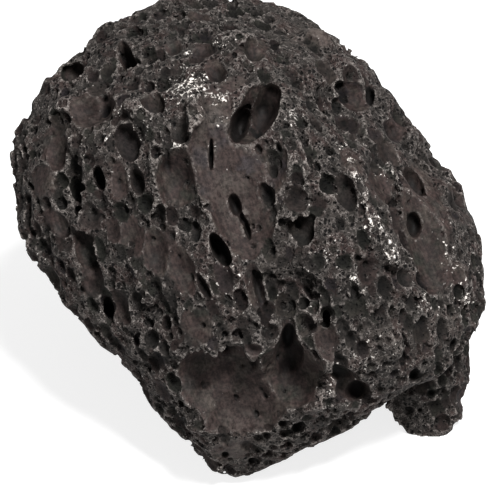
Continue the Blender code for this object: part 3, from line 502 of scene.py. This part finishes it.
def froth(count, seed, least, most, power, sinks, in_cells, in_calm):
    """Small bubbles on the surface that the larger ones left: (middle, axes).  They crowd where
    slow lumps run high.  Only the share in_cells of them opens on the wall of a middling bubble,
    less on a big one's, and in_calm on a calm stretch or on the wall of a large one."""
    rng = np.random.default_rng(seed)
    points, slope = surface_cells(stone, count, rng)
    radius = np.minimum(least * rng.random(count) ** (-1 / power), most)
    sink = rng.uniform(*sinks, count)
    stretch = rng.uniform(*FROTH_STRETCH, count)
    opened = nearest(wall, points)
    share = np.clip(CROWD_MEAN + CROWD_SWING * sample(crowding, FINE, points), CROWD_LEAST, 1)
    share[opened > MIDDLING] *= in_cells
    share[opened > BIG] *= BIG_SHARE
    share[(sample(calm, FINE, points) > CALM_FROM) | (opened > LARGE)] = in_calm
    keep = rng.random(count) < share
    keep &= points[:, 2] > BASE_ROOM
    middles = points - (sink * radius)[:, None] * slope
    return [(middle, drawn_out(*size))
            for middle, *size in zip(middles[keep], radius[keep], stretch[keep])]


def running_mean(field, reach):
    """The mean of the field over a box reaching so many cells each way, by running sums."""
    for axis in range(3):
        total = np.cumsum(np.moveaxis(field, axis, 0), axis=0, dtype=np.float64)
        mean = np.moveaxis(field, axis, 0).copy()
        mean[reach + 1:-reach] = (total[2 * reach + 1:] - total[:-2 * reach - 1]) / (2 * reach + 1)
        field = np.moveaxis(mean, 0, axis)
    return field


crowding = lump_field(rng, CROWD_SPACING, lines)
for number, row in enumerate(FROTH):
    cut_bubbles(froth(*row), FROTH_TINTS + number)
# What stood thin has weathered off: where the stone is thin, most of the 5 mm round it is outside
THIN, THIN_STEPS, THIN_CLIP = 1.1, 5, 2         # mm, grid steps each way, mm
round_it = running_mean(np.clip(stone, -THIN_CLIP, THIN_CLIP), THIN_STEPS)
np.maximum(stone, round_it - THIN, out=stone)
# The base is flat: all that lies below z = 0 is outside
np.maximum(stone, -np.ix_(*lines)[2].astype(np.float32), out=stone)

FILLED = -0.02                                  # mm, what the field reads at a filled corner


def fill_corners(field):
    """Where stone and air take turns round a grid face, the surface would touch itself.  The air
    corner nearest to the stone is filled there, over and over until no such face is left."""
    found = True
    while found:
        found = False
        for axis in range(3):
            rolled = np.moveaxis(field, axis, 2)
            inside = rolled < 0
            first, second = inside[:-1, :-1], inside[1:, :-1]
            at = np.argwhere((first == inside[1:, 1:]) & (second == inside[:-1, 1:])
                             & (first != second))
            if len(at):
                found = True
                corners = at[:, None] + ((0, 0, 0), (1, 1, 0), (1, 0, 0), (0, 1, 0))
                values = rolled[tuple(np.moveaxis(corners, 2, 0))]
                values[values < 0] = np.inf
                nearer = corners[np.arange(len(at)), values.argmin(1)]
                rolled[tuple(nearer.T)] = FILLED


def skin(field):
    """The field's zero surface as faces of four: each grid edge that crosses it gives one face,
    between the four cells round the edge, and each cell's vertex is the mean of its crossings."""
    crossings, cells, flips = [], [], []
    shape = np.array(field.shape)
    weight = np.array((shape[1] * shape[2], shape[2], 1))
    for axis in range(3):
        a = np.moveaxis(field, axis, 0)
        at = np.argwhere((a[:-1] < 0) != (a[1:] < 0))
        first = a[tuple(at.T)]
        second = a[tuple((at + (1, 0, 0)).T)]
        order = np.argsort([axis] + [k for k in range(3) if k != axis])
        at = at[:, order]
        point = at.astype(float)
        point[:, axis] += first / (first - second)
        b, c = (axis + 1) % 3, (axis + 2) % 3
        corner = at @ weight
        crossings.append(point)
        cells.append(np.column_stack((corner - weight[b] - weight[c], corner - weight[c],
                                      corner, corner - weight[b])))
        flips.append(first > 0)
    points, faces, flip = map(np.concatenate, (crossings, cells, flips))
    faces[flip] = faces[flip][:, ::-1]
    _, faces = np.unique(faces, return_inverse=True)
    faces = faces.reshape(-1, 4)
    count = np.bincount(faces.ravel())
    vertices = np.column_stack([np.bincount(faces.ravel(), np.repeat(points[:, k], 4)) / count
                                for k in range(3)])
    return LOW + vertices * FINE, faces


def largest_piece(vertices, faces):
    """Leaves out crumbs and sealed bubbles: every vertex takes the lowest label among those it
    is joined to, over and over, and only the commonest label is kept."""
    label = np.arange(len(vertices))
    a, b = faces[:, [0, 1, 2]].ravel(), faces[:, [1, 2, 3]].ravel()
    while True:
        lowest = np.minimum(label[a], label[b])
        if (label[a] == label[b]).all():
            break
        np.minimum.at(label, label[a], lowest)
        np.minimum.at(label, label[b], lowest)
        label = label[label]
    kept = label == np.bincount(label).argmax()
    number = np.cumsum(kept) - 1
    return vertices[kept], number[faces[kept[faces[:, 0]]]]


def new_mesh(name, vertices, faces):
    """A mesh from arrays of places in mm and of faces, each the numbers of its corners."""
    mesh = bpy.data.meshes.new(name)
    mesh.vertices.add(len(vertices))
    mesh.vertices.foreach_set("co", (vertices * 0.001).astype(np.float32).ravel())
    mesh.loops.add(faces.size)
    mesh.loops.foreach_set("vertex_index", faces.ravel().astype(np.int32))
    mesh.polygons.add(len(faces))
    starts = np.arange(0, faces.size, faces.shape[1], dtype=np.int32)
    mesh.polygons.foreach_set("loop_start", starts)
    mesh.update(calc_edges=True)
    mesh.validate()
    return mesh


fill_corners(stone)
vertices, faces = largest_piece(*skin(stone))
rock = bpy.data.objects.new("rock", new_mesh("rock", vertices, faces))
bpy.context.scene.collection.objects.link(rock)

# The mesh is thinned in two steps: first what lies behind the weathered face, then the rest
BEHIND_TRIANGLES, TRIANGLES = 45000, 197000     # behind the face, and in all
ray = vertices - CENTRE
behind = ray @ OUT < BEHIND * np.linalg.norm(ray, axis=1)
left = 2 * np.count_nonzero(~behind[faces[:, 0]]) + BEHIND_TRIANGLES
for name, chosen, ratio in (("behind", behind, left / (2 * len(faces))),
                            ("shown", ~behind, TRIANGLES / left)):
    group = rock.vertex_groups.new(name=name)
    group.add(np.flatnonzero(chosen).tolist(), 1.0, "REPLACE")
    thin = rock.modifiers.new(name, "DECIMATE")
    thin.vertex_group = name
    thin.ratio = ratio
bpy.context.view_layer.update()
graph = bpy.context.evaluated_depsgraph_get()
rock.data = bpy.data.meshes.new_from_object(rock.evaluated_get(graph))
rock.modifiers.clear()

# The finish: what lies on the stone, its own colours, painted shade, and what is too fine for the
# mesh.
# White crystals crust the rims in places: across, up, how far they spread, how thick, 0 to 1
CRUSTS = [
    (-18.5, 49.5, 5, 1.0), (-21, 53, 3, 0.9), (-13.5, 48.5, 1.6, 1.0), (-10.5, 46.5, 1.8, 1.0),
    (-8, 45.5, 1.6, 1.0), (-9, 39.5, 1.4, 0.9), (13, 41, 2.4, 0.9), (-10, 62.5, 2.6, 0.7),
    (-19.5, 59, 1.2, 0.9), (-39, 42, 1.8, 0.8), (-22.5, 31.5, 1.8, 0.9), (27, 32, 2.2, 0.9),
    (30, 28, 2.2, 1.0), (32, 22, 2.4, 0.9), (35, 15, 3, 0.8), (38, 8, 3.4, 0.9), (43, 0, 3.2, 0.8),
    (31.5, -9, 2, 0.9), (42, 24, 2.6, 0.8), (52.5, -15.5, 2, 1.0), (66, -15, 3, 0.9),
    (61, -2, 6, 0.5), (3.6, -31, 1.2, 1.0), (24, -40, 2, 0.7), (24, -1, 4, 0.5), (-30, 37, 6, 0.4),
    (-42, 34, 6, 0.3), (-5, -10, 6, 0.4), (36, -30, 8, 0.35),
]
# Pale dust lies on some stretches, in the same terms
DUST = [
    (19, 66, 6, 1.0), (-12.5, 40, 3.6, 0.9), (-13, 31, 3.4, 0.8), (-5.5, 18, 4.5, 0.7),
    (-3, -57.5, 8, 0.6), (-51, 37, 5, 0.6), (-38, 27, 5, 0.4), (31, -35, 4, 0.5),
    (38, -28, 6, 0.5), (25, 15, 4, 0.4), (60, -20, 4, 0.5), (-8, -25, 4, 0.5), (5, -3, 4, 0.4),
    (52, 25, 4, 0.5), (15, -21, 4, 0.5),
]


def laid(table, points):
    """How thick a crust or dust lies: each row's thickness times e to minus the distance squared
    over twice its spread squared, and the largest of them counts."""
    total = np.zeros(len(points))
    for (_, _, spread, thick), place in zip(table, seen_places(block, FINE, table)[0]):
        far = ((points - place) ** 2).sum(1)
        np.maximum(total, thick * np.exp(-far / (2 * spread ** 2)), out=total)
    return total


def ramp(values, start, end):
    """0 up to the start and 1 from the end, straight between them."""
    return np.clip((values - start) / (end - start), 0, 1)


# What the finish needs to know at each vertex: how deep in the block it lies, how sharp a rim or
# how broad a hump it is on, how calm the skin is, what bubble's wall it is on, and what lies there
RIM_STEPS, RIM_SHARP = 2, 0.35                  # grid steps each way, and mm that count as 1
HUMP_STEPS, HUMP_BROAD = 7, 1.2
places = np.empty(3 * len(rock.data.vertices), np.float32)
rock.data.vertices.foreach_get("co", places)
places = places.reshape(-1, 3) * 1000.0
narrow = np.clip(stone, -3, 3)
opened = nearest(wall, places)
facts = {
    "depth": np.maximum(-sample(block, FINE, places), 0),
    "rim": sample(running_mean(narrow, RIM_STEPS), FINE, places) / RIM_SHARP,
    "hump": sample(running_mean(narrow, HUMP_STEPS), FINE, places) / HUMP_BROAD,
    "calm": np.maximum(sample(calm, FINE, places), ramp(opened, 3.0, 5.0)),
    "cell": ramp(opened, 0.6, 2.1),
    "tint": nearest(tint, places),
    "crust": laid(CRUSTS, places),
    "dust": laid(DUST, places),
}
for name, values in facts.items():
    layer = rock.data.attributes.new(name, "FLOAT", "POINT")
    layer.data.foreach_set("value", values.astype(np.float32))
rock.data.shade_smooth()
rock.data.set_sharp_from_angle(angle=math.radians(50))

material = bpy.data.materials.new("basalt")
material.use_nodes = True
tree = material.node_tree
shader = tree.nodes["Principled BSDF"]


def node(kind, *values, **settings):
    """A node of the kind, with settings put on it and values or links on its sockets in order."""
    made = tree.nodes.new(kind)
    for key, value in settings.items():
        setattr(made, key, value)
    for socket, value in enumerate(values):
        if value is None:
            continue
        if isinstance(value, bpy.types.NodeSocket):
            tree.links.new(value, made.inputs[socket])
        else:
            made.inputs[socket].default_value = value
    return made


def maths(operation, *values):
    """The values put through one operation, such as ADD."""
    return node("ShaderNodeMath", *values, operation=operation).outputs[0]


def times(first, *others):
    """The values multiplied together, one after another."""
    for other in others:
        first = maths("MULTIPLY", first, other)
    return first


def less(part):
    """1 minus the part."""
    return maths("SUBTRACT", 1.0, part)


def between(value, low, high, to_low=0.0, to_high=1.0):
    """0 below low and 1 above high, with a smooth rise between, then stretched to the new ends."""
    made = node("ShaderNodeMapRange", value, low, high, to_low, to_high,
                interpolation_type="SMOOTHSTEP")
    return made.outputs[0]


def blend(factor, first, second, kind="MIX"):
    """From the first colour to the second as the factor goes from 0 to 1."""
    made = node("ShaderNodeMix", data_type="RGBA", blend_type=kind)
    for socket, value in ((0, factor), (6, first), (7, second)):
        if isinstance(value, bpy.types.NodeSocket):
            tree.links.new(value, made.inputs[socket])
        else:
            made.inputs[socket].default_value = value
    return made.outputs[2]


def shaded(colour, shade):
    """The colour times the shade."""
    return blend(1.0, colour, shade, "MULTIPLY")


def fact(name):
    """A number kept at each vertex."""
    return node("ShaderNodeAttribute", attribute_name=name).outputs["Fac"]


def cloud(millimetres, detail=2.0, roughness=0.55, places=None):
    """Soft noise whose lumps are about so many millimetres across, about 0.5 all over."""
    made = node("ShaderNodeTexNoise", places or in_mm)
    made.inputs["Scale"].default_value = 1.0 / millimetres
    made.inputs["Detail"].default_value = detail
    made.inputs["Roughness"].default_value = roughness
    return made.outputs["Fac"]


in_mm = node("ShaderNodeVectorMath", node("ShaderNodeTexCoord").outputs["Object"],
             (1000.0, 1000.0, 1000.0), operation="MULTIPLY").outputs[0]

# Places squeezed to a tenth along the flow: p - 0.9 (p . f) f, so that noise there runs in streaks
run = node("ShaderNodeVectorMath", in_mm, tuple(FLOW), operation="DOT_PRODUCT").outputs["Value"]
run = node("ShaderNodeVectorMath", tuple(FLOW), None, None, times(run, 0.9),
           operation="SCALE").outputs[0]
along_flow = node("ShaderNodeVectorMath", in_mm, run, operation="SUBTRACT").outputs[0]

# Places stirred by soft noise, p + 1.3 (noise - 1/2), so that small bubbles there aren't round
stir = node("ShaderNodeTexNoise", in_mm)
stir.inputs["Scale"].default_value = 0.8
stir = node("ShaderNodeVectorMath", stir.outputs["Color"], (0.5, 0.5, 0.5),
            operation="SUBTRACT").outputs[0]
stirred = node("ShaderNodeVectorMath", stir, (1.3, 1.3, 1.3), in_mm,
               operation="MULTIPLY_ADD").outputs[0]


def threads(millimetres, width):
    """The thin walls left between small bubbles: cells of the size given, 1 on the border between
    two of them and 0 from so much of a cell away."""
    cells = node("ShaderNodeTexVoronoi", stirred, feature="DISTANCE_TO_EDGE")
    cells.inputs["Scale"].default_value = 1.0 / millimetres
    return between(cells.outputs["Distance"], 0.0, width, 1.0, 0.0)


def pinholes(millimetres, least, most, crowd):
    """Pinholes as spheres cut by the surface: cells of the size given, each with a centre and a
    radius between least and most cells, times crowd.  Gives how deep inside its sphere a point
    is: 1 at the centre, 0 on the sphere, below 0 outside."""
    cells = node("ShaderNodeTexVoronoi", stirred)
    cells.inputs["Scale"].default_value = 1.0 / millimetres
    chance = node("ShaderNodeSeparateColor", cells.outputs["Color"]).outputs[0]
    radius = times(between(chance, 0.25, 1.0, least, most), crowd)
    inside = maths("SUBTRACT", radius, cells.outputs["Distance"])
    return maths("DIVIDE", inside, maths("MAXIMUM", radius, 0.05))


def hollow_of(pinhole):
    """How far a pinhole sinks: 1 - (1 - inside)^2, which is round at the bottom."""
    part = maths("MINIMUM", maths("MAXIMUM", pinhole, 0.0), 1.0)
    return less(maths("POWER", less(part), 2.0))


def lip_of(pinhole):
    """1 on a pinhole's lip, fading inwards and outwards."""
    return times(between(pinhole, -0.6, -0.1), between(pinhole, -0.1, 0.2, 1.0, 0.0))


GREY = (0.0195, 0.0169, 0.0153, 1.0)
OLIVE = (0.0162, 0.0163, 0.0129, 1.0)
LILAC = (0.0188, 0.0152, 0.0166, 1.0)
RUST = (0.0222, 0.0148, 0.0133, 1.0)
SAND = (0.0300, 0.0240, 0.0205, 1.0)
DUSTY = (0.0720, 0.0600, 0.0530, 1.0)
PALE = (0.200, 0.178, 0.164, 1.0)
WHITE = (0.74, 0.69, 0.64, 1.0)

rim, hump, depth, crust = fact("rim"), fact("hump"), fact("depth"), fact("crust")
calm_skin, cell, own_tint = fact("calm"), fact("cell"), fact("tint")
bare = maths("MAXIMUM", cell, calm_skin)

# Pinholes crowd on broken stone, less on a bubble's wall and least on calm skin
crowd = maths("SUBTRACT", 1.1, maths("ADD", times(calm_skin, 0.6), times(cell, 0.35)))
small = pinholes(1.25, 0.10, 0.52, crowd)
tiny = pinholes(0.62, 0.10, 0.50, crowd)

# The stone: clouds of grey and rust, each bubble's wall in a tint of its own, calm skin sandy
colour = blend(between(cloud(7, 3.0), 0.46, 0.62), GREY, RUST)
own = blend(between(own_tint, 0.15, 0.5), OLIVE, GREY)
own = blend(between(own_tint, 0.55, 0.8), own, RUST)
own = blend(between(own_tint, 0.85, 0.95), own, LILAC)
colour = blend(times(cell, 0.85), colour, own)
sandy = blend(between(cloud(5, 3.0, 0.6), 0.46, 0.64), RUST, SAND)
colour = blend(times(calm_skin, between(cloud(7), 0.30, 0.5)), colour, sandy)
# Its grain, which runs in streaks along the flow on calm skin
colour = shaded(colour, between(cloud(1.1, 3.0, 0.7), 0.30, 0.72, 0.5, 1.55))
streaks = between(cloud(0.9, 3.0, 0.6, along_flow), 0.3, 0.7, 0.65, 1.35)
colour = blend(calm_skin, colour, shaded(colour, streaks))
# Dust, then painted shade inside middling bubbles, less of it on calm skin
dust = times(fact("dust"), between(cloud(2.2, 4.0, 0.7), 0.38, 0.62))
colour = blend(times(dust, 0.75), colour, DUSTY)
colour = shaded(colour, less(times(cell, maths("SUBTRACT", 0.45, times(calm_skin, 0.35)))))
# Pale rims, where the stone is rubbed, but not deep in a hollow
rubbed = between(maths("ADD", rim, times(hump, 0.25)), 0.35, 1.3)
rubbed = times(rubbed, between(cloud(1.0, 4.0, 0.8), 0.43, 0.62),
               between(calm_skin, 0.3, 1.0, 1.0, 0.45), between(depth, 3.0, 7.0, 1.0, 0.15))
colour = blend(times(rubbed, 0.85), colour, PALE)
# Pale lips on the pinholes, and pale threads between the cells of the froth
lips = maths("MAXIMUM", lip_of(small), times(lip_of(tiny), 0.6))
lips = times(lips, times(between(cloud(3, 3.0, 0.7), 0.42, 0.60),
                         maths("SUBTRACT", 0.4, times(bare, 0.4))))
colour = blend(lips, colour, PALE)
walls = times(threads(1.7, 0.10), less(bare))
broken = between(cloud(1.5, 3.0, 0.75), 0.46, 0.62)
colour = blend(times(walls, broken, 0.55), colour, PALE)
# White crystals, as specks on the rims and as threads
speckle = maths("ADD", cloud(1.2, 2.0, 0.65), times(crust, 0.165))
specks = times(between(speckle, 0.65, 0.80), between(maths("ADD", rim, crust), 0.1, 0.9))
white_walls = times(threads(2.3, 0.10), between(crust, 0.45, 1.0, 0.0, 0.85),
                    between(cloud(1.6, 3.0, 0.75), 0.48, 0.60))
colour = blend(maths("MAXIMUM", specks, white_walls), colour, WHITE)
# Painted shade darkens what lies low: between humps, deep in the hollows and in the pinholes
painted_shade_low = between(maths("ADD", hump, times(rim, 0.4)), -1.35, 0.1, 0.22, 1.0)
colour = shaded(colour, painted_shade_low)
colour = shaded(colour, between(depth, 3.0, 13.0, 1.0, 0.5))
colour = shaded(colour, less(times(0.9, between(small, 0.0, 0.4))))
colour = shaded(colour, less(times(0.75, between(tiny, 0.0, 0.4))))
tree.links.new(colour, shader.inputs["Base Color"])
tree.links.new(between(calm_skin, 0.2, 1.0, 0.9, 0.72), shader.inputs["Roughness"])
shader.inputs["Specular IOR Level"].default_value = 0.14

# What is too fine for the mesh, in mm: pinholes, threads, and grit, less of it on calm skin
height = maths("ADD", times(hollow_of(small), -0.45), times(hollow_of(tiny), -0.2))
height = maths("ADD", height, times(walls, 0.12))
grit = times(cloud(0.7, 3.0, 0.7), maths("SUBTRACT", 0.45, times(calm_skin, 0.3)))
bump = node("ShaderNodeBump")
bump.inputs["Strength"].default_value = 1.0
bump.inputs["Distance"].default_value = 0.001
tree.links.new(maths("ADD", height, grit), bump.inputs["Height"])
tree.links.new(bump.outputs["Normal"], shader.inputs["Normal"])
rock.data.materials.append(material)

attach(rock, "root")
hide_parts("lava_rock")

# ------------------------------------------------------------------------------------------------
# The studio.  A sheet of white paper lit a little from below, as on a light table, and soft light
# from above.
# ------------------------------------------------------------------------------------------------
bpy.ops.mesh.primitive_plane_add(size=6.0, location=(0.0, 0.0, 0.0))
floor = bpy.context.object
floor.name = "floor"
paper = bpy.data.materials.new("white_paper")
paper.use_nodes = True
sheet = paper.node_tree.nodes["Principled BSDF"]
sheet.inputs["Base Color"].default_value = (0.35, 0.35, 0.35, 1.0)
sheet.inputs["Roughness"].default_value = 0.9
sheet.inputs["Emission Color"].default_value = (1.0, 1.0, 1.0, 1.0)
sheet.inputs["Emission Strength"].default_value = 0.8
floor.data.materials.append(paper)


def soft_light(name, azimuth, elevation, distance, size, watts):
    """A square area light so far from the rock's middle, turned towards it."""
    a, e = math.radians(azimuth), math.radians(elevation)
    away = np.array((math.sin(a) * math.cos(e), -math.cos(a) * math.cos(e), math.sin(e)))
    light = bpy.data.objects.new(name, bpy.data.lights.new(name, "AREA"))
    bpy.context.scene.collection.objects.link(light)
    light.data.size = size
    light.data.energy = watts
    light.location = away * distance + AIM
    light.rotation_euler = (math.pi / 2 - e, 0.0, a)


AIM = np.array((0.0, 0.0, 0.055))               # m, what the lights are turned towards
soft_light("key", azimuth=40, elevation=68, distance=0.9, size=0.22, watts=18.5)
soft_light("fill", azimuth=-40, elevation=35, distance=1.1, size=0.8, watts=1.0)

world = bpy.data.worlds.new("studio")
bpy.context.scene.world = world
world.use_nodes = True
world.node_tree.nodes["Background"].inputs["Color"].default_value = (1.0, 1.0, 1.0, 1.0)
world.node_tree.nodes["Background"].inputs["Strength"].default_value = 0.24
bpy.context.scene.view_settings.view_transform = "Standard"

# The camera looks straight at the weathered face, and sees 150 mm of it across
camera = bpy.data.objects.new("camera", bpy.data.cameras.new("camera"))
bpy.context.scene.collection.objects.link(camera)
camera.data.lens = 135.0
camera.data.sensor_width = 36.0
camera.data.clip_start = 0.01
camera.location = face_place((0, 0, VIEW_DISTANCE))[0] * 0.001
camera.rotation_euler = (math.pi / 2 - LEAN, 0.0, 0.0)
bpy.context.scene.camera = camera
